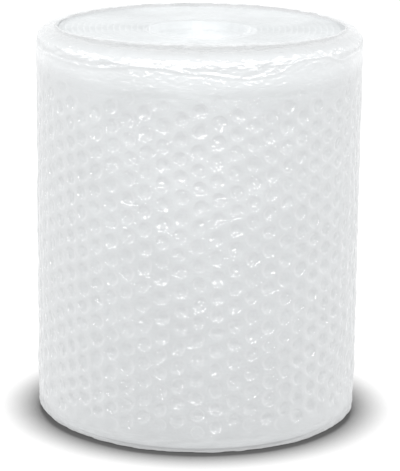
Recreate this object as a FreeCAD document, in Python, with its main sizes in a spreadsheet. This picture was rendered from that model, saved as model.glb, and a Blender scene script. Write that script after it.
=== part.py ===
import FreeCAD, Part
import math
import os

# Roll of clear air-bubble film, standing on one end, with the axis up and the
# origin in the middle of the end it stands on. All sizes are in millimetres.
# The film is wound with its flat side out, so the outer face shows the bubbles
# as cells that sink in from a smooth cylinder.

doc = FreeCAD.newDocument("bubble_film_roll")

driving = {
    "filmWidth": 300.0,        # width of the film, which is the roll's height
    "holeRadius": 31.0,        # hole left by the winding spindle
    "hubWrap": 5.0,            # first turn round the hole, pressed solid
    "turnPitch": 4.5,          # thickness that one turn of the film adds
    "turnCount": 20,           # turns wound on the first one
    "topShoulder": 10.0,       # how far the outer turns slump at the top
    "footShoulder": 9.0,       # how far they are pushed up at the foot
    "edgeDepth": 3.0,          # hollow between two film edges on an end
    "plainEdge": 22.0,         # gathered strip without bubbles under the top edge
    "plainFoot": 5.0,          # the same strip over the lower edge
    "columnPitch": 13.4,       # from one column of bubbles to the next
    "rowPitch": 14.2,          # from one bubble to the next in a column
    "rowClimb": 1.34,          # how much higher each column stands than the one before
    "bubbleDepth": 4.0,        # how deep a bubble stands behind the flat side
    "chordsPerTurn": 30,       # straight runs that draw one turn on an end
}

sheet = doc.addObject("Spreadsheet::Sheet", "Sizes")
for row, (name, value) in enumerate(driving.items(), start=1):
    sheet.set(f"A{row}", name)
    sheet.set(f"B{row}", str(value))
    sheet.setAlias(f"B{row}", name)
doc.recompute()


def size(name):
    return float(sheet.get(name))


chords = round(size("chordsPerTurn"))
turns = round(size("turnCount"))
firstRadius = size("holeRadius") + size("hubWrap")


def turnRadius(turn):
    # The film's radius after so many turns, measured from the back (+Y).
    return firstRadius + size("turnPitch") * turn


def place(radius, turn, height):
    # Whole turns start at the back and run clockwise seen from above.
    angle = 2 * math.pi * turn
    return FreeCAD.Vector(radius * math.sin(angle), radius * math.cos(angle), height)


class Skin:
    # The closed surface of the roll, gathered as points and triangles.
    def __init__(self):
        self.points = []
        self.triangles = []

    def line(self, points, marks):
        # Adds a line of points, each with the mark that says how far along it is.
        first = len(self.points)
        self.points.extend(points)
        return [(mark, first + step) for step, mark in enumerate(marks)]

    def strip(self, left, right):
        # Fills the band between two lines, always stepping to the nearer mark.
        i = j = 0
        while i < len(left) - 1 or j < len(right) - 1:
            stepLeft = j == len(right) - 1 or (
                i < len(left) - 1 and left[i + 1][0] <= right[j + 1][0])
            if stepLeft:
                self.triangles.append((left[i][1], left[i + 1][1], right[j][1]))
                i += 1
            else:
                self.triangles.append((left[i][1], right[j + 1][1], right[j][1]))
                j += 1


def slump(turn, shoulder):
    # The outermost turn is pushed in by the whole shoulder, and the turns
    # inside it follow a quarter circle up to the flat middle of the end.
    inward = size("turnPitch") * max(0.0, turns - turn - 1)
    if inward >= shoulder:
        return 0.0
    return shoulder - math.sqrt(shoulder ** 2 - (shoulder - inward) ** 2)


def woundEnd(skin, face, outward, shoulder):
    # One end of the roll: the film's edge as a spiral ridge, and between two
    # turns of it a hollow that closes where the winding starts.
    edgeMarks = [step / chords for step in range(turns * chords + 1)]
    edge = skin.line(
        [place(turnRadius(turn), turn, face - outward * slump(turn, shoulder)) for turn in edgeMarks],
        edgeMarks)
    hollowMarks = edgeMarks[:-chords]
    hollow = []
    for turn in hollowMarks:
        depth = size("edgeDepth") if turn > 0 else 0.0
        height = face - outward * (slump(turn + 1, shoulder) + depth)
        hollow.append(place(turnRadius(turn + 0.5), turn, height))
    hollow = skin.line(hollow, hollowMarks)
    inner = edge[:-chords]
    outer = [(turn - 1, point) for turn, point in edge[chords:]]
    # The flat middle is a fan within the first turn, from a point at the side
    # from which the whole of that turn is in sight.
    centre = len(skin.points)
    skin.points.append(place(size("holeRadius") / 2, 0.75, face))
    rim = [point for turn, point in edge[:chords + 1]] + [hollow[0][1], edge[0][1]]
    middle = [(centre, a, b) for a, b in zip(rim, rim[1:])]
    before = len(skin.triangles)
    skin.triangles.extend(middle)
    skin.strip(inner, hollow)
    skin.strip(hollow, outer)
    if outward > 0:
        skin.triangles[before:] = [(a, c, b) for a, b, c in skin.triangles[before:]]
    lastTurn = [(turn - (turns - 1), point) for turn, point in edge[-chords - 1:]]
    return lastTurn, hollow[-1]


def bubbleRows(skin, lowest, highest):
    # The outer turn's face. Points stand a third of a column apart on rows that
    # climb round the roll, half a bubble row from each other. Every third point
    # is the bottom of a cell whose six corners lie on the face. A row starts and
    # ends where it crosses the zone's rim, at a point that its neighbour has too.
    middleRadius = turnRadius(turns - 0.5)
    columns = 2 * round(math.pi * middleRadius / size("columnPitch"))
    thirds = 3 * columns
    half = size("rowPitch") / 2
    climb = size("rowClimb") / 3

    def heightAt(row, step):
        return lowest + row * half + climb * step

    rows = {}
    for row in range(-math.ceil(climb * thirds / half), math.ceil((highest - lowest) / half) + 1):
        inside = [step for step in range(thirds + 1) if lowest <= heightAt(row, step) <= highest]
        enter = next((step for step in inside if step == 0 or (step - row) % 2), thirds)
        leave = next((step for step in reversed(inside) if step == thirds or (step - row) % 2), 0)
        if leave - enter < 6:
            continue
        steps = [enter] + [step for step in range(enter + 1, leave) if (step - row) % 2 == 0] + [leave]
        points = []
        for step in steps:
            height = heightAt(row, step)
            whole = enter < step < leave and lowest + half + climb <= height <= highest - half - climb
            sunk = size("bubbleDepth") if whole and step % 6 == 3 * (row % 2) else 0.0
            turn = step / thirds
            points.append(place(turnRadius(turns - 1 + turn) - sunk, turn, height))
        rows[row] = (enter, leave, skin.line(points, [step / thirds for step in steps]))

    def piece(row, start, end):
        return [point for point in rows[row][2] if start / thirds <= point[0] <= end / thirds]

    lowRim = []
    highRim = []
    for row, (enter, leave, line) in sorted(rows.items(), reverse=True):
        if row + 1 in rows:
            skin.strip(piece(row, enter, rows[row + 1][1]), piece(row + 1, enter, rows[row + 1][1]))
        if row - 1 not in rows or rows[row - 1][0] > 0:
            lowRim += piece(row, enter, rows[row - 1][0] if row - 1 in rows else thirds)
        if row + 1 not in rows or rows[row + 1][1] < thirds:
            highRim += piece(row, rows[row + 1][1] if row + 1 in rows else 0, leave)
    starts = [line[0] for enter, leave, line in rows.values() if enter == 0]
    ends = [line[-1] for enter, leave, line in rows.values() if leave == thirds]
    return lowRim, highRim, starts, ends


def woundFilm():
    # The whole winding as one solid, without the hole.
    skin = Skin()
    width = size("filmWidth")
    foot = size("footShoulder")
    top = size("topShoulder")
    lowEdge, lowHollow = woundEnd(skin, 0.0, -1, foot)
    highEdge, highHollow = woundEnd(skin, width, 1, top)
    lowRim, highRim, starts, ends = bubbleRows(
        skin, foot + size("plainFoot"), width - top - size("plainEdge"))
    skin.strip(lowEdge, lowRim)
    skin.strip(highRim, highEdge)
    # The free end of the film is a step at the back, one turn high.
    under = [(skin.points[point].z, point) for mark, point in [lowEdge[0]] + starts + [highEdge[0]]]
    over = [(skin.points[point].z, point) for mark, point in [lowEdge[-1]] + ends + [highEdge[-1]]]
    between = [(0.0, lowHollow[1]), (width, highHollow[1])]
    skin.strip(over, between)
    skin.strip(between, under)
    shape = Part.Shape()
    shape.makeShapeFromMesh((skin.points, skin.triangles), 0.001)
    solid = Part.Solid(Part.Shell(shape.Faces))
    if solid.Volume < 0:
        solid.reverse()
    return solid


winding = doc.addObject("Part::Feature", "Winding")
winding.Shape = woundFilm()
winding.Placement = FreeCAD.Placement()

spindle = doc.addObject("Part::Cylinder", "SpindleHole")
spindle.setExpression("Radius", "Sizes.holeRadius")
spindle.setExpression("Height", "Sizes.filmWidth")

roll = doc.addObject("Part::Cut", "Roll")
roll.Base = winding
roll.Tool = spindle
roll.Refine = False
roll.Label = "bubble_film_roll"
roll.Placement = FreeCAD.Placement()
doc.recompute()

for item in doc.Objects:
    if "Invalid" in item.State or "Error" in item.State:
        raise RuntimeError(f"{item.Label} could not be built")
if roll.Shape.isNull() or not roll.Shape.isValid():
    raise RuntimeError(f"{roll.Label} has no valid shape")

os.makedirs("parts", exist_ok=True)
roll.Shape.exportStep(f"parts/{roll.Label}.step")
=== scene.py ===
import bmesh
import bpy
import math
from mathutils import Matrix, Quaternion, Vector, noise


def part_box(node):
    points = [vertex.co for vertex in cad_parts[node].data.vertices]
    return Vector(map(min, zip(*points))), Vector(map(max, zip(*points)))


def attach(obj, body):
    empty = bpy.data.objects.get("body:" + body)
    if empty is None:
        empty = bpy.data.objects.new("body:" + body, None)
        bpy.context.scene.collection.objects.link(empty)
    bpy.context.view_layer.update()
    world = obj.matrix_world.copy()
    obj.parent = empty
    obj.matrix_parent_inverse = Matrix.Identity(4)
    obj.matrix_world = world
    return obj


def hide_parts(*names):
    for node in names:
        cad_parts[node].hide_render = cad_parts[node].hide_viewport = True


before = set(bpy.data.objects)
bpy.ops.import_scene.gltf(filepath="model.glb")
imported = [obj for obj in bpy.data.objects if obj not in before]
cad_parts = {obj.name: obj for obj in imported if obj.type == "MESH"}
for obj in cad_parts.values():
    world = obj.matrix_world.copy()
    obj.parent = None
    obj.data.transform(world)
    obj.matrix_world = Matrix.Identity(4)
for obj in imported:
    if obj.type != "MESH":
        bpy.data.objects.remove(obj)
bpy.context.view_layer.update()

# A roll of clear air-bubble film, standing on one end. The web is wound with
# its flat side out, so its bubbles are seen from their open side. All pieces
# lie on the spiral that the frame's solid has: turns are counted from the
# back (+Y), clockwise seen from above, and the free end is at the back.

print("roll: reading the frame")
node = "bubble_film_roll"
boxLow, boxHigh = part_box(node)
outerRadius = boxHigh[1]
foot, top = boxLow[2], boxHigh[2]

roll = {
    "turnPitch": 0.0045,      # what one turn adds to the radius
    "turns": 20,              # turns wound on the first one
    "topShoulder": 0.010,     # how far the outer turns slump at the top
    "footShoulder": 0.009,    # how far they are pushed up at the foot
    "plainEdge": 0.022,       # gathered strip without bubbles under the top edge
    "plainFoot": 0.005,       # the same strip over the lower edge
    "rowPitch": 0.0142,
    "columnsPerTurn": 58,
    "rowClimb": 0.00134,      # how much higher each column stands than the one before
    "bubbleRadius": 0.0050,
    "bubbleDepth": 0.0040,
}
firstRadius = outerRadius - roll["turnPitch"] * roll["turns"]


def toLinear(code):
    # An sRGB hex value as the linear colour that a shader socket takes.
    values = [int(code[i:i + 2], 16) / 255 for i in (1, 3, 5)]
    return tuple(v / 12.92 if v <= 0.04045 else ((v + 0.055) / 1.055) ** 2.4 for v in values) + (1,)


def addNode(tree, kind, settings=None, links=None):
    # Adds a node, sets its properties, and fills its inputs with values or sockets.
    added = tree.nodes.new(kind)
    for name, value in (settings or {}).items():
        setattr(added, name, value)
    for key, value in (links or {}).items():
        if isinstance(value, bpy.types.NodeSocket):
            tree.links.new(value, added.inputs[key])
        else:
            added.inputs[key].default_value = value
    return added


def turnRadius(turn):
    return firstRadius + roll["turnPitch"] * turn


def onRoll(turn, outward, height):
    # A point by its turn, its distance out of the film, and its height.
    angle = 2 * math.pi * turn
    radius = turnRadius(turn) + outward
    return Vector((radius * math.sin(angle), radius * math.cos(angle), height))


def slump(turn, shoulder):
    # How far the film's edge is pushed in towards the middle of the roll.
    inward = roll["turnPitch"] * max(0.0, roll["turns"] - turn - 1)
    if inward >= shoulder:
        return 0.0
    return shoulder - math.sqrt(shoulder ** 2 - (shoulder - inward) ** 2)


def addPiece(name, points, faces, material):
    # A smooth mesh that belongs to the roll, with its faces turned outward.
    mesh = bpy.data.meshes.new(name)
    mesh.from_pydata(points, [], faces)
    mesh.polygons.foreach_set("use_smooth", [True] * len(faces))
    mesh.materials.append(material)
    piece = bpy.data.objects.new(name, mesh)
    bpy.context.scene.collection.objects.link(piece)
    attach(piece, "root")
    return piece


# Materials

cupFilm = {
    "name": "clearBubbleFilm",
    "colour": "#6c6e6f",
    "paintedHazeGlow": 0.46,            # painted glow: emission that stands in for light the film scatters, the same whichever way it faces
    "ior": 1.51,
    "roughness": 0.12,
    "faceOn": 0.14,          # cover where the film faces the eye
    "edgeOn": 0.70,          # cover where it is seen edge-on
    "turned": (0.10, 0.60),  # how far it turns away between these two
    "creaseSize": (0.005, 0.005, 0.003),
    "creaseHeight": 0.00018,
    "gathered": 0.0,         # cover that its folds add where it is gathered
    "weldDepth": 0.0,        # step in the film at the weld round a bubble
}
flatFilm = {
    "name": "clearFlatFilm",
    "colour": "#6c6e6f",
    "paintedHazeGlow": 0.46,
    "ior": 1.51,
    "roughness": 0.09,
    "faceOn": 0.42,
    "edgeOn": 0.70,
    "turned": (0.12, 0.95),
    "creaseSize": (0.008, 0.008, 0.0020),
    "creaseHeight": 0.00058,
    "gathered": 0.0,
    "weldDepth": 0.00060,
}
innerFilm = {
    "name": "clearInnerFilm",
    "colour": "#6c6e6f",
    "paintedHazeGlow": 0.64,
    "ior": 1.51,
    "roughness": 0.20,
    "faceOn": 0.10,
    "edgeOn": 0.28,
    "turned": (0.20, 1.0),
    "creaseSize": (0.006, 0.006, 0.006),
    "creaseHeight": 0.0002,
    "gathered": 0.0,
    "weldDepth": 0.0,
}
gatheredFilm = {
    "name": "gatheredFilm",
    "colour": "#6c6e6f",
    "paintedHazeGlow": 0.66,
    "ior": 1.51,
    "roughness": 0.19,
    "faceOn": 0.42,
    "edgeOn": 0.78,
    "turned": (0.12, 0.95),
    "creaseSize": (0.007, 0.007, 0.0035),
    "creaseHeight": 0.00105,
    "gathered": 0.30,
    "paintedFoldShade": 0.16,          # painted shade: glow taken off where it is folded over itself
    "weldDepth": 0.0,
}

weld = {
    "unevenSize": 0.006,     # along a ring, how soon the step changes its depth
    "depths": (0.2, 1.5),    # least and most of the look's weld depth
    "reach": (0.90, 1.12),   # where the step starts and ends, in bubble radii
    "none": 2.0,             # stands for plain film, past any step
}


def clearFilm(look):
    # Clear blown LDPE film: nearly invisible where it faces the eye, whiter
    # where it is seen edge-on, with slick highlights broken by fine creases
    # that run round the roll. Where it is gathered it looks frosted.
    material = bpy.data.materials.new(look["name"])
    material.use_nodes = True
    tree = material.node_tree
    shader = tree.nodes["Principled BSDF"]
    place = addNode(tree, "ShaderNodeTexCoord")
    across = addNode(tree, "ShaderNodeMapping", {}, {
        "Vector": place.outputs["Object"], "Scale": [1 / length for length in look["creaseSize"]]})
    creases = addNode(tree, "ShaderNodeTexNoise", {"noise_dimensions": "3D"}, {
        "Vector": across.outputs["Vector"], "Scale": 1.0, "Detail": 3.0, "Distortion": 0.6})
    height = addNode(tree, "ShaderNodeMath", {"operation": "MULTIPLY"}, {
        0: creases.outputs["Fac"], 1: look["creaseHeight"]}).outputs[0]
    if look["weldDepth"]:
        # The film steps in at the weld, more at some bubbles and parts of a ring than at others.
        reach = addNode(tree, "ShaderNodeAttribute", {"attribute_name": "fromCentre"})
        uneven = addNode(tree, "ShaderNodeTexNoise", {"noise_dimensions": "3D"}, {
            "Vector": place.outputs["Object"], "Scale": 1 / weld["unevenSize"], "Detail": 1.0})
        depth = addNode(tree, "ShaderNodeMapRange", {}, {
            "Value": uneven.outputs["Fac"], "From Min": 0.35, "From Max": 0.65,
            "To Min": weld["depths"][0] * look["weldDepth"], "To Max": weld["depths"][1] * look["weldDepth"]})
        step = addNode(tree, "ShaderNodeMapRange", {"interpolation_type": "SMOOTHSTEP"}, {
            "Value": reach.outputs["Fac"], "From Min": weld["reach"][0], "From Max": weld["reach"][1],
            "To Min": -1.0, "To Max": 0.0})
        height = addNode(tree, "ShaderNodeMath", {"operation": "MULTIPLY_ADD"}, {
            0: step.outputs["Result"], 1: depth.outputs["Result"], 2: height}).outputs[0]
    bump = addNode(tree, "ShaderNodeBump", {}, {"Height": height, "Distance": 1.0, "Strength": 1.0})
    facing = addNode(tree, "ShaderNodeLayerWeight", {}, {"Blend": 0.5, "Normal": bump.outputs["Normal"]})
    cover = addNode(tree, "ShaderNodeMapRange", {}, {
        "Value": facing.outputs["Facing"], "From Min": look["turned"][0], "From Max": look["turned"][1],
        "To Min": look["faceOn"], "To Max": look["edgeOn"]})
    alpha = cover.outputs["Result"]
    if look["gathered"]:
        folds = addNode(tree, "ShaderNodeAttribute", {"attribute_name": "gather"})
        alpha = addNode(tree, "ShaderNodeMath", {"operation": "MULTIPLY_ADD", "use_clamp": True}, {
            0: folds.outputs["Fac"], 1: look["gathered"], 2: alpha}).outputs[0]
    tree.links.new(bump.outputs["Normal"], shader.inputs["Normal"])
    tree.links.new(alpha, shader.inputs["Alpha"])
    shader.inputs["Base Color"].default_value = toLinear(look["colour"])
    shader.inputs["Roughness"].default_value = look["roughness"]
    shader.inputs["IOR"].default_value = look["ior"]
    shader.inputs["Specular IOR Level"].default_value = 1.0
    # Painted light: the film glows with a white haze of its own in place of scattered light. Its own colour
    # is kept dark, so this glow gives most of its whiteness. More of it shows where the film is seen edge-on
    # and its cover is thicker.
    shader.inputs["Emission Color"].default_value = toLinear("#fbfcfd")
    shader.inputs["Emission Strength"].default_value = look["paintedHazeGlow"]
    if look["gathered"]:
        # It clears up towards the bubbles, where its painted glow falls to the flat film's. Folded over
        # itself, it is darkened by painted shade: some of its glow is taken off.
        frostPaintedGlow = addNode(tree, "ShaderNodeAttribute", {"attribute_name": "frostPaintedGlow"})
        paintedHazeGlow = addNode(tree, "ShaderNodeMapRange", {}, {
            "Value": frostPaintedGlow.outputs["Fac"], "To Min": flatFilm["paintedHazeGlow"], "To Max": look["paintedHazeGlow"]})
        folded = addNode(tree, "ShaderNodeMath", {"operation": "MAXIMUM"}, {0: folds.outputs["Fac"], 1: 0.0})
        glowLessPaintedFoldShade = addNode(tree, "ShaderNodeMath", {"operation": "MULTIPLY_ADD"}, {
            0: folded.outputs[0], 1: -look["paintedFoldShade"], 2: paintedHazeGlow.outputs["Result"]})
        tree.links.new(glowLessPaintedFoldShade.outputs[0], shader.inputs["Emission Strength"])
    return material


def woundFilm():
    # Many turns of the same film seen as one: milky, cool and slightly cloudy
    # where air lies between the turns.
    look = {
        "pale": "#7e8182",
        "deep": "#6c6f70",
        "light": "#e6e8e9",
        "glow": 0.395,           # painted glow: emission that stands in for light travelling inside the roll
        "paintedGlowAtHole": 0.53,      # stronger painted glow round the hole, lifting its shaded wall
        "holeRim": (0.0055, 0.007),  # past the first turn, from where to where the painted glow falls
        "cloudSize": 0.045,
        "roughness": 0.45,
        "ior": 1.51,
        "foldSize": 0.008,
        "foldHeight": 0.0012,
    }
    material = bpy.data.materials.new("milkyWoundFilm")
    material.use_nodes = True
    tree = material.node_tree
    shader = tree.nodes["Principled BSDF"]
    place = addNode(tree, "ShaderNodeTexCoord")
    clouds = addNode(tree, "ShaderNodeTexNoise", {"noise_dimensions": "3D"}, {
        "Vector": place.outputs["Object"], "Scale": 1 / look["cloudSize"], "Detail": 2.0})
    spread = addNode(tree, "ShaderNodeMapRange", {}, {
        "Value": clouds.outputs["Fac"], "From Min": 0.35, "From Max": 0.65})
    tint = addNode(tree, "ShaderNodeMix", {"data_type": "RGBA"})
    tree.links.new(spread.outputs["Result"], tint.inputs[0])
    tint.inputs[6].default_value = toLinear(look["deep"])
    tint.inputs[7].default_value = toLinear(look["pale"])
    folds = addNode(tree, "ShaderNodeTexVoronoi", {"feature": "SMOOTH_F1"}, {
        "Vector": place.outputs["Object"], "Scale": 1 / look["foldSize"]})
    bump = addNode(tree, "ShaderNodeBump", {}, {
        "Height": folds.outputs["Distance"], "Distance": look["foldHeight"], "Strength": 0.7})
    tree.links.new(tint.outputs[2], shader.inputs["Base Color"])
    tree.links.new(bump.outputs["Normal"], shader.inputs["Normal"])
    shader.inputs["Roughness"].default_value = look["roughness"]
    shader.inputs["IOR"].default_value = look["ior"]
    # Painted light: the wound mass glows white on its own, more round the hole, in place of light passing
    # through the roll.
    shader.inputs["Emission Color"].default_value = toLinear(look["light"])
    flatPlace = addNode(tree, "ShaderNodeVectorMath", {"operation": "MULTIPLY"}, {
        0: place.outputs["Object"], 1: (1, 1, 0)})
    fromAxis = addNode(tree, "ShaderNodeVectorMath", {"operation": "LENGTH"}, {0: flatPlace.outputs[0]})
    glow = addNode(tree, "ShaderNodeMapRange", {}, {
        "Value": fromAxis.outputs["Value"], "From Min": firstRadius + look["holeRim"][0],
        "From Max": firstRadius + look["holeRim"][1], "To Min": look["paintedGlowAtHole"], "To Max": look["glow"]})
    tree.links.new(glow.outputs["Result"], shader.inputs["Emission Strength"])
    return material


print("roll: materials")
cupLook = clearFilm(cupFilm)
flatLook = clearFilm(flatFilm)
gatheredLook = clearFilm(gatheredFilm)
innerLook = clearFilm(innerFilm)
woundLook = woundFilm()


# Bubble web

# Rings of a cell, as share of the bubble's radius and of its depth. The cup
# goes from the welded ring down the steep side to its rounded end, and the
# flat film that closes it is drawn in a little.
cupRings = [(1.09, 0.0), (1.0, 0.10), (0.93, 0.48), (0.70, 0.86)]
flatRings = [(1.20, 0.0), (0.88, 0.45), (0.50, 0.90)]


def cellMesh(name, columnPitch, depth, profile):
    # One cell of the web, drawn flat: x along the web, y out of the film.
    third = columnPitch / 3
    half = roll["rowPitch"] / 2
    corners = [(third, half), (-third, half), (-2 * third, 0),
               (-third, -half), (third, -half), (2 * third, 0)]
    around = 18
    perSide = around // 6
    points = []
    for side in range(6):
        ax, az = corners[side]
        bx, bz = corners[(side + 1) % 6]
        for step in range(perSide):
            share = step / perSide
            x = ax + (bx - ax) * share
            points.append((x, 0.0, az + (bz - az) * share + roll["rowClimb"] / columnPitch * x))
    faces = []
    start = math.atan2(points[0][2], points[0][0])
    for share, sunk in profile:
        for step in range(around):
            angle = start + 2 * math.pi * step / around
            radius = roll["bubbleRadius"] * share
            points.append((radius * math.cos(angle), -depth * sunk, radius * math.sin(angle)))
    for ring in range(len(profile)):
        for step in range(around):
            a = ring * around + step
            b = ring * around + (step + 1) % around
            faces.append((b, a, a + around, b + around))
    points.append((0.0, -depth, 0.0))
    last = len(profile) * around
    for step in range(around):
        faces.append((last + (step + 1) % around, last + step, len(points) - 1))
    mesh = bpy.data.meshes.new(name)
    mesh.from_pydata(points, [], faces)
    reaches = [math.hypot(x, z) / roll["bubbleRadius"] if depth else weld["none"] for x, y, z in points]
    mesh.attributes.new("fromCentre", "FLOAT", "POINT").data.foreach_set("value", reaches)
    cell = bpy.data.objects.new(name, mesh)
    bpy.context.scene.collection.objects.link(cell)
    return cell


def latticeTree():
    # Sets the cells out in staggered, slanting columns, as a flat web.
    tree = bpy.data.node_groups.new("bubbleLattice", "GeometryNodeTree")
    tree.interface.new_socket(name="Geometry", in_out="INPUT", socket_type="NodeSocketGeometry")
    for label, kind in (
            ("Bubble cell", "Object"), ("Plain cell", "Object"), ("Columns", "Int"), ("First column", "Int"),
            ("Rows", "Int"), ("Column pitch", "Float"), ("Row pitch", "Float"), ("Rise", "Float"),
            ("Base", "Float"), ("Lowest bubble", "Float"), ("Highest bubble", "Float"),
            ("Shallowest", "Float"), ("Seed", "Int"), ("Material", "Material")):
        tree.interface.new_socket(name=label, in_out="INPUT", socket_type="NodeSocket" + kind)
    tree.interface.new_socket(name="Geometry", in_out="OUTPUT", socket_type="NodeSocketGeometry")
    given = addNode(tree, "NodeGroupInput").outputs

    def maths(operation, first, second, third=None):
        values = {0: first, 1: second}
        if third is not None:
            values[2] = third
        return addNode(tree, "ShaderNodeMath", {"operation": operation}, values).outputs[0]

    count = maths("MULTIPLY", given["Columns"], given["Rows"])
    points = addNode(tree, "GeometryNodePoints", {}, {"Count": count})
    index = addNode(tree, "GeometryNodeInputIndex").outputs[0]
    counted = maths("FLOOR", maths("DIVIDE", index, given["Rows"]), 0.0)
    column = maths("ADD", counted, given["First column"])
    row = maths("FLOORED_MODULO", index, given["Rows"])
    along = maths("MULTIPLY", column, given["Column pitch"])
    halfRow = maths("MULTIPLY", given["Row pitch"], 0.5)
    stagger = maths("MULTIPLY", maths("FLOORED_MODULO", column, 2.0), halfRow)
    shift = maths("MULTIPLY_ADD", along, given["Rise"], stagger)
    wrapped = maths("FLOORED_MODULO", shift, given["Row pitch"])
    height = maths("ADD", maths("MULTIPLY_ADD", row, given["Row pitch"], wrapped), given["Base"])
    spot = addNode(tree, "ShaderNodeCombineXYZ", {}, {"X": along, "Z": height})
    placed = addNode(tree, "GeometryNodeSetPosition", {}, {
        "Geometry": points.outputs[0], "Position": spot.outputs[0]})
    above = addNode(tree, "FunctionNodeCompare", {"data_type": "FLOAT", "operation": "GREATER_EQUAL"}, {
        "A": height, "B": given["Lowest bubble"]})
    below = addNode(tree, "FunctionNodeCompare", {"data_type": "FLOAT", "operation": "LESS_EQUAL"}, {
        "A": height, "B": given["Highest bubble"]})
    bubble = addNode(tree, "FunctionNodeBooleanMath", {"operation": "AND"}, {
        0: above.outputs[0], 1: below.outputs[0]}).outputs[0]
    plain = addNode(tree, "FunctionNodeBooleanMath", {"operation": "NOT"}, {0: bubble}).outputs[0]
    depth = addNode(tree, "FunctionNodeRandomValue", {"data_type": "FLOAT"})
    tree.links.new(given["Shallowest"], depth.inputs[2])
    tree.links.new(given["Seed"], depth.inputs[8])
    scale = addNode(tree, "ShaderNodeCombineXYZ", {}, {"X": 1.0, "Y": depth.outputs[1], "Z": 1.0})
    joined = addNode(tree, "GeometryNodeJoinGeometry")
    for source, chosen, size in (("Bubble cell", bubble, scale.outputs[0]), ("Plain cell", plain, (1, 1, 1))):
        shape = addNode(tree, "GeometryNodeObjectInfo", {}, {"Object": given[source]})
        copies = addNode(tree, "GeometryNodeInstanceOnPoints", {}, {
            "Points": placed.outputs[0], "Selection": chosen,
            "Instance": shape.outputs["Geometry"], "Scale": size})
        tree.links.new(copies.outputs[0], joined.inputs[0])
    real = addNode(tree, "GeometryNodeRealizeInstances", {}, {0: joined.outputs[0]})
    welded = addNode(tree, "GeometryNodeMergeByDistance", {}, {
        "Geometry": real.outputs[0], "Distance": 0.00005})
    smooth = addNode(tree, "GeometryNodeSetShadeSmooth", {}, {"Geometry": welded.outputs[0]})
    dressed = addNode(tree, "GeometryNodeSetMaterial", {}, {
        "Geometry": smooth.outputs[0], "Material": given["Material"]})
    addNode(tree, "NodeGroupOutput", {}, {0: dressed.outputs[0]})
    return tree


lattice = latticeTree()


bubbleLayer = {"rings": cupRings, "depth": roll["bubbleDepth"], "under": 0.0003, "look": cupLook}
flatLayer = {"rings": flatRings, "depth": 0.0006, "under": 0.0, "look": flatLook}
innerLayer = {"rings": cupRings, "depth": roll["bubbleDepth"], "under": 0.0, "look": innerLook}


def bubbleWeb(name, layer, turns, columns, lowest, highest, shallowest, seed):
    # A web of bubbles between two turns and two heights, wound on the spiral.
    firstTurn, lastTurn = turns
    columnPitch = 2 * math.pi * turnRadius((firstTurn + lastTurn) / 2) / columns
    cell = cellMesh(name + "Bubble", columnPitch, layer["depth"], layer["rings"])
    plainCell = cellMesh(name + "Plain", columnPitch, 0.0, layer["rings"])
    firstColumn = round((firstTurn - math.floor(lastTurn - 0.5)) * columns)
    wholeCell = roll["rowPitch"] / 2 + roll["rowClimb"] / 3
    values = {
        "Bubble cell": cell, "Plain cell": plainCell, "First column": firstColumn,
        "Columns": round((lastTurn - firstTurn) * columns) + 1,
        "Rows": math.ceil((highest - lowest) / roll["rowPitch"]) + 3,
        "Column pitch": columnPitch, "Row pitch": roll["rowPitch"], "Rise": roll["rowClimb"] / columnPitch,
        "Base": lowest - roll["rowPitch"],
        "Lowest bubble": lowest + wholeCell, "Highest bubble": highest - wholeCell,
        "Shallowest": shallowest, "Seed": seed, "Material": layer["look"]}
    carrier = bpy.data.objects.new(name, bpy.data.meshes.new(name))
    bpy.context.scene.collection.objects.link(carrier)
    modifier = carrier.modifiers.new("lattice", "NODES")
    modifier.node_group = lattice
    for item in lattice.interface.items_tree:
        if item.in_out == "INPUT" and item.name in values:
            modifier[item.identifier] = values[item.name]
    bpy.context.view_layer.update()
    evaluated = carrier.evaluated_get(bpy.context.evaluated_depsgraph_get())
    mesh = bpy.data.meshes.new_from_object(evaluated)
    carrier.modifiers.remove(modifier)
    for helper in (carrier, cell, plainCell):
        bpy.data.objects.remove(helper)
    wind(mesh, math.floor(lastTurn - 0.5), 1 / (columns * columnPitch),
         (firstTurn, lastTurn), (lowest, highest), layer["under"])
    piece = bpy.data.objects.new(name, mesh)
    mesh.name = name
    bpy.context.scene.collection.objects.link(piece)
    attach(piece, "root")
    return piece


crumple = {
    "drift": 0.0022,         # bubbles pulled out of line, in the web
    "driftSize": 0.035,
    "dent": 0.0008,          # soft dents across several bubbles
    "dentSize": 0.026,
    "crease": 0.0004,
    "creaseSize": 0.007,
    "slackAtFoot": 1.9,      # how much looser the web is near the foot
    "calmEdge": 0.012,       # within this of its edges the web stays in line
    "sliver": 0.0001,        # what lies this near an edge is cut off with it
}


def crumpled(along, height):
    # Small shifts of a point of the web: along it, up it, and in from it.
    slack = 1 + (crumple["slackAtFoot"] - 1) * (1 - height / top) ** 2
    spot = Vector((along, 0.0, height))
    drift = spot / crumple["driftSize"]
    sideways = crumple["drift"] * slack * noise.noise(drift)
    upward = crumple["drift"] * slack * noise.noise(drift + Vector((7, 3, 1)))
    dent = crumple["dent"] * slack * (noise.noise(spot / crumple["dentSize"]) - 0.35)
    dent += crumple["crease"] * slack * (noise.noise(spot / crumple["creaseSize"]) - 0.25)
    return sideways, upward, min(dent, 0)


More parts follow.
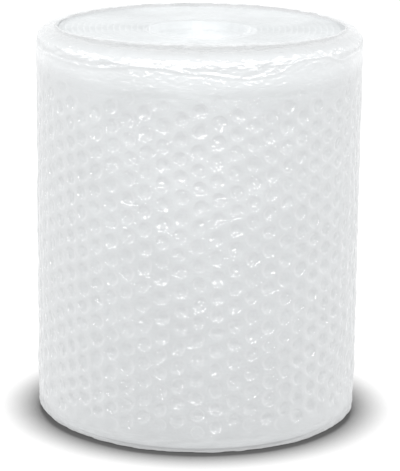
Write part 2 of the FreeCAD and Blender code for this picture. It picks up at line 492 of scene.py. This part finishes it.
def wind(mesh, zeroTurn, turnsPerMetre, turns, heights, under):
    # Winds a flat web on the roll, cut off at its ends and edges, and crumples it.
    lowest, highest = heights
    starts, stops = [(turn - zeroTurn) / turnsPerMetre for turn in turns]
    web = bmesh.new()
    web.from_mesh(mesh)
    sliver = crumple["sliver"]
    beyond = [face for face in web.faces if min(v.co.z for v in face.verts) > highest - sliver
              or max(v.co.z for v in face.verts) < lowest + sliver
              or min(v.co.x for v in face.verts) > stops - sliver
              or max(v.co.x for v in face.verts) < starts + sliver]
    bmesh.ops.delete(web, geom=beyond, context="FACES")
    web.to_mesh(mesh)
    web.free()
    for vertex in mesh.vertices:
        x, y, z = vertex.co
        height = min(max(z, lowest), highest)
        sideways, upward, dent = crumpled(x, height)
        free = min((height - lowest) / crumple["calmEdge"], (highest - height) / crumple["calmEdge"], 1.0)
        height = min(max(height + upward * free, lowest), highest)
        turn = min(max(zeroTurn + (x + sideways * free) * turnsPerMetre, turns[0]), turns[1])
        vertex.co = onRoll(turn, y + dent - under, height)
    mesh.update()


print("roll: outer turn")
footEdge = foot + roll["footShoulder"]
crease = top - roll["topShoulder"]
lowBubbles = footEdge + roll["plainFoot"]
highBubbles = crease - roll["plainEdge"]
outerTurns = (roll["turns"] - 1 - 2 / roll["columnsPerTurn"], roll["turns"])
outerTurn = bubbleWeb("bubble_film_outer_turn", bubbleLayer, outerTurns, roll["columnsPerTurn"],
                      lowBubbles, highBubbles, shallowest=0.55, seed=4)
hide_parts(node)
bubbleWeb("film_flat_side", flatLayer, outerTurns, roll["columnsPerTurn"],
          lowBubbles, highBubbles, shallowest=0.45, seed=4)


# The turn under it, which shows through

print("roll: second turn")
overlap = 0.006              # how far its bubbles run on past the outer turn's
bubbleWeb("bubble_film_second_turn", bubbleLayer, (roll["turns"] - 2, roll["turns"] - 1),
          roll["columnsPerTurn"] - 2, lowBubbles - overlap, highBubbles + overlap, shallowest=0.8, seed=6)


# The outer turn's plain edges, bent over the shoulder and in at the foot

bend = {
    "columns": 520,
    "straightRows": 24,
    "bentRows": 16,
    "flatRows": 30,
    "topLap": (0.004, 0.052),  # how far it lies on the top past the shoulder, at the back and the front
    "footLap": (0.002, 0.002),
    "creaseDown": 0.0035,    # how far the crease lies under the shoulder
    "creaseWander": 0.0040,  # how far it strays up and down
    "creaseWanderSize": 0.055,
    "wanderEase": 0.04,      # turn over which the strays below ease into that
    "creaseWidth": 0.0009,
    "creaseDepth": 0.0006,
    "pucker": 0.0010,        # folds where the edge is gathered
    "puckerSize": 0.0060,
    "puckerStart": 0.35,
    "raggedEdge": 0.0012,
    "raggedSize": 0.012,
    "gatherOver": 0.004,     # height over which the film gathers at the crease
    "gatherUnder": 0.12,     # how gathered it is under the crease, and at the foot
    "gatherAtFoot": 0.4,
    "foldsUnder": 0.4,       # folds that the eye sees under the crease
    "foldsAndPaintedShade": 1.2,          # folds that the shoulder adds, at the front and the sides: more cover, and painted shade that takes glow off there
    "easeRows": 8,           # rows over which the crumpled web turns smooth
    "footCalm": 0.7,         # how much less crumpled the web is where it turns in at the foot
    "frostRows": 14,         # rows over which the film turns milky, shown as stronger painted glow
    "clearAgain": 0.45,      # share of the lap over which it clears up
    "lapFade": 10,           # how fast the lap fades out towards its end
}

# Where the top crease strays most on the photo's side, as turn and height.
creaseStrays = [(0.34, 0.0), (0.37, 0.0065), (0.40, 0.0065), (0.43, -0.0025), (0.46, -0.004), (0.50, 0.0),
                (0.55, 0.0035), (0.61, -0.001), (0.68, 0.0)]


def creaseShift(share, along):
    # How far the crease lies above or below its middle height.
    if share <= creaseStrays[0][0] or share >= creaseStrays[-1][0]:
        ends = min(abs(share - creaseStrays[0][0]), abs(share - creaseStrays[-1][0]))
        wander = bend["creaseWander"] * noise.noise(Vector((along / bend["creaseWanderSize"], 4, 2)))
        return wander * min(ends / bend["wanderEase"], 1)
    for (before, low), (after, high) in zip(creaseStrays, creaseStrays[1:]):
        if share <= after:
            part = (share - before) / (after - before)
            return low + (high - low) * part * part * (3 - 2 * part)
    return 0.0


def bentEdge(name, start, face, outward, shoulder, lap, look):
    # From the last bubbles straight on, round the shoulder, and flat on the end.
    points = []
    gathers = []
    frosts = []
    faces = []
    straight = bend["straightRows"]
    bent = straight + bend["bentRows"]
    rows = bent + bend["flatRows"]
    firstTurn, lastTurn = outerTurns
    webLength = 2 * math.pi * turnRadius((firstTurn + lastTurn) / 2)
    for column in range(bend["columns"] + 1):
        turn = firstTurn + (lastTurn - firstTurn) * column / bend["columns"]
        along = webLength * (turn - roll["turns"] + 1)
        ledge = roll["turnPitch"] * max(0.0, turn - roll["turns"] + 1)
        ragged = bend["raggedEdge"] * noise.noise(Vector((along / bend["raggedSize"], 9, 0)))
        creaseHeight = face - outward * (shoulder + bend["creaseDown"]) + creaseShift(
            (turn - roll["turns"] + 1) % 1, along) * (outward > 0)
        front = max(0.0, -math.cos(2 * math.pi * turn)) ** 1.5
        reach = lap[0] + (lap[1] - lap[0]) * front + ragged
        foldsAndPaintedShade = bend["foldsAndPaintedShade"] * min(max(0.5 - math.cos(2 * math.pi * turn), 0.0), 1.0)
        for row in range(rows + 1):
            turned = min(max((row - straight) / bend["bentRows"], 0.0), 1.0) * math.pi / 2
            flat = max(row - bent, 0) / bend["flatRows"]
            height = face - outward * shoulder * (1 - math.sin(turned))
            if row < straight:
                height = start + (height - start) * row / straight
            inward = (shoulder + ledge) * (1 - math.cos(turned)) + reach * flat
            # The web lies smooth up to the crease, and gathered past it.
            past = outward * (height - creaseHeight)
            least = bend["gatherUnder"] * min(row / 6, 1)
            most = 1.0 if outward > 0 else bend["gatherAtFoot"]
            gathered = min(max(past / bend["gatherOver"] + 0.5, least), most)
            spot = Vector((along * 0.5, height, inward))
            fold = noise.noise(spot / bend["puckerSize"])
            fold += 0.5 * noise.noise(spot / (bend["puckerSize"] * 0.4))
            gather = bend["pucker"] * gathered * min(fold - bend["puckerStart"], 0)
            bead = 1 - math.exp(-(past / bend["creaseWidth"]) ** 2) if outward > 0 else 1.0
            near = 0.0 if outward < 0 else math.exp(-(past / (4 * bend["creaseWidth"])) ** 2)
            gather = gather * bead - bend["creaseDepth"] * bead * near
            smoothed = min(row / bend["easeRows"], 1.0)
            # The crumpled web runs on over the foot, and is drawn smooth under the top.
            kept = 1 - smoothed if outward > 0 else 1 - bend["footCalm"] * math.sin(turned)
            dent = crumpled(along, min(height, highBubbles))[2] * kept + gather * smoothed
            lifted = height + outward * dent * math.sin(turned)
            points.append(onRoll(turn, dent * math.cos(turned) - inward, lifted))
            # The gather attribute thickens the film's cover and, on the top, darkens its glow with painted
            # shade; frost strengthens its painted glow.
            folds = max(gathered, bend["foldsUnder"]) * smoothed * (1 + foldsAndPaintedShade * math.sin(turned))
            gathers.append(folds - bend["lapFade"] * flat ** 3)
            frosts.append(min(row / bend["frostRows"], 1.0) * max(1 - flat / bend["clearAgain"], 0.0))
        if column:
            for row in range(rows):
                a = (column - 1) * (rows + 1) + row
                b = a + rows + 1
                faces.append((a, b, b + 1, a + 1) if outward > 0 else (a, a + 1, b + 1, b))
    piece = addPiece(name, points, faces, look)
    reaches = [weld["none"]] * len(points)
    for label, values in (("gather", gathers), ("frostPaintedGlow", frosts), ("fromCentre", reaches)):
        piece.data.attributes.new(label, "FLOAT", "POINT").data.foreach_set("value", values)
    return piece


print("roll: bent edges")
bentEdge("film_bent_top", highBubbles, top, 1, roll["topShoulder"], bend["topLap"], gatheredLook)
bentEdge("film_bent_foot", lowBubbles, foot, -1, roll["footShoulder"], bend["footLap"], flatLook)


# Film edges on both ends

edge = {
    "stepsPerTurn": 240,
    "strip": 0.010,          # how much of the film is drawn below its edge
    "rungs": 4,
    "wave": 0.0005,
    "waveSize": 0.012,
    "ragged": 0.0005,
    "raggedSize": 0.02,
    "raggedStart": 0.6,
    "lean": 0.8,             # how differently the film waves at its edge and below it
}


def filmEdges(name, face, outward, shoulder, lastTurn):
    # The film's edge on one end: a strip that follows the spiral and waves.
    points = []
    faces = []
    steps = round(lastTurn * edge["stepsPerTurn"])
    rungs = edge["rungs"]
    for step in range(steps + 1):
        turn = step / edge["stepsPerTurn"]
        reach = 2 * math.pi * turnRadius(turn / 2) * turn
        tear = noise.noise(Vector((reach / edge["raggedSize"], 5, outward)))
        rag = edge["ragged"] * min(tear - edge["raggedStart"], 0)
        tip = face - outward * slump(turn, shoulder)
        for rung in range(rungs):
            share = rung / (rungs - 1)
            spot = Vector((reach / edge["waveSize"], share * edge["lean"], outward))
            wave = edge["wave"] * share * noise.noise(spot)
            height = tip - outward * edge["strip"] * (1 - share) + outward * rag * share
            points.append(onRoll(turn, wave, height))
        if step:
            for rung in range(rungs - 1):
                a = (step - 1) * rungs + rung
                faces.append((a, a + rungs, a + rungs + 1, a + 1) if outward > 0
                             else (a, a + 1, a + rungs + 1, a + rungs))
    return addPiece(name, points, faces, innerLook)


print("roll: film edges")
filmEdges("film_edge_top", top, 1, roll["topShoulder"], roll["turns"] - 3.5)
filmEdges("film_edge_foot", foot, -1, roll["footShoulder"], roll["turns"] - 1)


# The first turn, round the hole

print("roll: hole")
firstWeb = {"columns": 18, "overFoot": 0.004, "underTop": 0.008}
bubbleWeb("bubble_film_first_turn", innerLayer, (0, 1), firstWeb["columns"],
          foot + firstWeb["overFoot"], top - firstWeb["underTop"], shallowest=0.85, seed=8)


# The wound mass between the turns

mass = {
    "around": 240,
    "rings": 44,
    "hollow": 0.0032,        # how far the wound mass lies under the film's edges
    "under": 0.0093,         # how far it lies inside the outer turn
    "overHole": 0.0004,      # how far it lies outside the first turn
    "crowding": 1.6,         # how much closer its rings stand at the shoulder
    "easing": 0.03,          # share of a turn over which it eases back before the free end
}


def woundMass(name):
    # The folds of all turns as one body that follows the spiral, and eases
    # back to where it started just before the free end.
    points = []
    faces = []
    for step in range(mass["around"]):
        share = step / mass["around"]
        angle = 2 * math.pi * share
        wound = min(share, (1 - share) * (1 - mass["easing"]) / mass["easing"])
        inner = turnRadius(wound) + mass["overHole"]
        edgeRadius = turnRadius(roll["turns"] - 1 + wound)
        outer = edgeRadius - mass["under"]
        profile = []
        for face, outward, shoulder in ((top, 1, roll["topShoulder"]), (foot, -1, roll["footShoulder"])):
            reach = shoulder + roll["turnPitch"] * wound
            band = []
            for ring in range(mass["rings"] + 1):
                radius = inner + (outer - inner) * (1 - (1 - ring / mass["rings"]) ** mass["crowding"])
                inward = edgeRadius - radius
                drop = 0.0
                if inward < reach:
                    drop = shoulder * (1 - math.sqrt(1 - (1 - inward / reach) ** 2))
                band.append((radius, face - outward * (drop + mass["hollow"])))
            profile += band if outward > 0 else band[::-1]
        for radius, height in profile:
            points.append((radius * math.sin(angle), radius * math.cos(angle), height))
    outline = 2 * (mass["rings"] + 1)
    for step in range(mass["around"]):
        for i in range(outline):
            here = step * outline
            there = (step + 1) % mass["around"] * outline
            after = (i + 1) % outline
            faces.append((here + i, here + after, there + after, there + i))
    return addPiece(name, points, faces, woundLook)


print("roll: wound mass")
woundMass("wound_mass")


# Studio

studio = {
    "distance": 1.85,
    "elevation": 14.61,      # degrees above the horizon
    "tilt": 0.58,            # degrees that the camera is turned about its own axis
    "target": (0.0007, 0.0, 0.1364),
    "focal": 2395.6,         # in the photo's pixels
    "frameHeight": 471,
    "sensor": 36.0,
}


def addCamera():
    data = bpy.data.cameras.new("photoCamera")
    data.sensor_width = studio["sensor"]
    data.lens = studio["focal"] * studio["sensor"] / studio["frameHeight"]
    camera = bpy.data.objects.new("photoCamera", data)
    rise = math.radians(studio["elevation"])
    target = Vector(studio["target"])
    camera.location = target + studio["distance"] * Vector((0, -math.cos(rise), math.sin(rise)))
    look = (target - camera.location).to_track_quat("-Z", "Y")
    camera.rotation_mode = "QUATERNION"
    camera.rotation_quaternion = look @ Quaternion((0, 0, 1), math.radians(studio["tilt"]))
    bpy.context.scene.collection.objects.link(camera)
    bpy.context.scene.camera = camera


def addSoftbox(name, place, target, size, power):
    data = bpy.data.lights.new(name, "AREA")
    data.shape = "RECTANGLE"
    data.size, data.size_y = size
    data.energy = power
    light = bpy.data.objects.new(name, data)
    light.location = place
    light.rotation_mode = "QUATERNION"
    light.rotation_quaternion = (Vector(target) - Vector(place)).to_track_quat("-Z", "Y")
    bpy.context.scene.collection.objects.link(light)


floorLook = {
    "half": 6.0,
    "colour": "#303030",
    "light": "#ffffff",
    "roughness": 0.9,
    "shadowReach": 0.040,    # how near the roll the painted contact shadow reaches
    "open": (0.46, 1.0),     # share of open sky where it is darkest and brightest
    "glow": (0.07, 1.10),    # its light there
    "onRoll": 0.45,          # share of that light that falls on the roll
}
room = {"onRoll": 0.90, "seen": 1.10}


def addFloor():
    # White acrylic on a light table: evenly white, with a painted contact shadow where the roll stands.
    mesh = bpy.data.meshes.new("paleFloor")
    half = floorLook["half"]
    corners = [(-half, -half, 0), (half, -half, 0), (half, half, 0), (-half, half, 0)]
    mesh.from_pydata(corners, [], [(0, 1, 2, 3)])
    material = bpy.data.materials.new("lightTable")
    material.use_nodes = True
    tree = material.node_tree
    shader = tree.nodes["Principled BSDF"]
    shader.inputs["Base Color"].default_value = toLinear(floorLook["colour"])
    shader.inputs["Roughness"].default_value = floorLook["roughness"]
    shader.inputs["Specular IOR Level"].default_value = 0.0
    shader.inputs["Emission Color"].default_value = toLinear(floorLook["light"])
    # Painted contact shadow: the table's glow is taken down where ambient occlusion finds the roll near.
    near = addNode(tree, "ShaderNodeAmbientOcclusion", {"samples": 16}, {
        "Distance": floorLook["shadowReach"]})
    glow = addNode(tree, "ShaderNodeMapRange", {}, {
        "Value": near.outputs["AO"], "From Min": floorLook["open"][0], "From Max": floorLook["open"][1],
        "To Min": floorLook["glow"][0], "To Max": floorLook["glow"][1]})
    # The table is as bright as the paper behind it only to the eye: its light on the roll is dimmer.
    seen = addNode(tree, "ShaderNodeLightPath")
    level = addNode(tree, "ShaderNodeMapRange", {}, {
        "Value": seen.outputs["Is Camera Ray"], "To Min": floorLook["onRoll"]})
    strength = addNode(tree, "ShaderNodeMath", {"operation": "MULTIPLY"}, {
        0: glow.outputs["Result"], 1: level.outputs["Result"]})
    tree.links.new(strength.outputs[0], shader.inputs["Emission Strength"])
    mesh.materials.append(material)
    floor = bpy.data.objects.new("paleFloor", mesh)
    bpy.context.scene.collection.objects.link(floor)


print("roll: studio")
addCamera()
addFloor()
# Long, thin softboxes: the bright arc under a bubble is the step at its weld that reflects them.
addSoftbox("key", place=(0.0, -1.95, 1.30), target=(0, 0, 0.16), size=(4.6, 0.20), power=178.0)
addSoftbox("left", place=(-1.33, -0.24, 0.95), target=(0, 0, 0.20), size=(1.4, 0.14), power=13.0)
addSoftbox("right", place=(1.33, -0.24, 0.95), target=(0, 0, 0.20), size=(1.4, 0.14), power=9.0)
world = bpy.data.worlds.new("paleRoom")
world.use_nodes = True
world.node_tree.nodes["Background"].inputs["Color"].default_value = toLinear("#ffffff")
seen = addNode(world.node_tree, "ShaderNodeLightPath")
level = addNode(world.node_tree, "ShaderNodeMapRange", {}, {
    "Value": seen.outputs["Is Camera Ray"], "To Min": room["onRoll"], "To Max": room["seen"]})
world.node_tree.links.new(level.outputs["Result"], world.node_tree.nodes["Background"].inputs["Strength"])
bpy.context.scene.world = world
bpy.context.scene.view_settings.view_transform = "Standard"
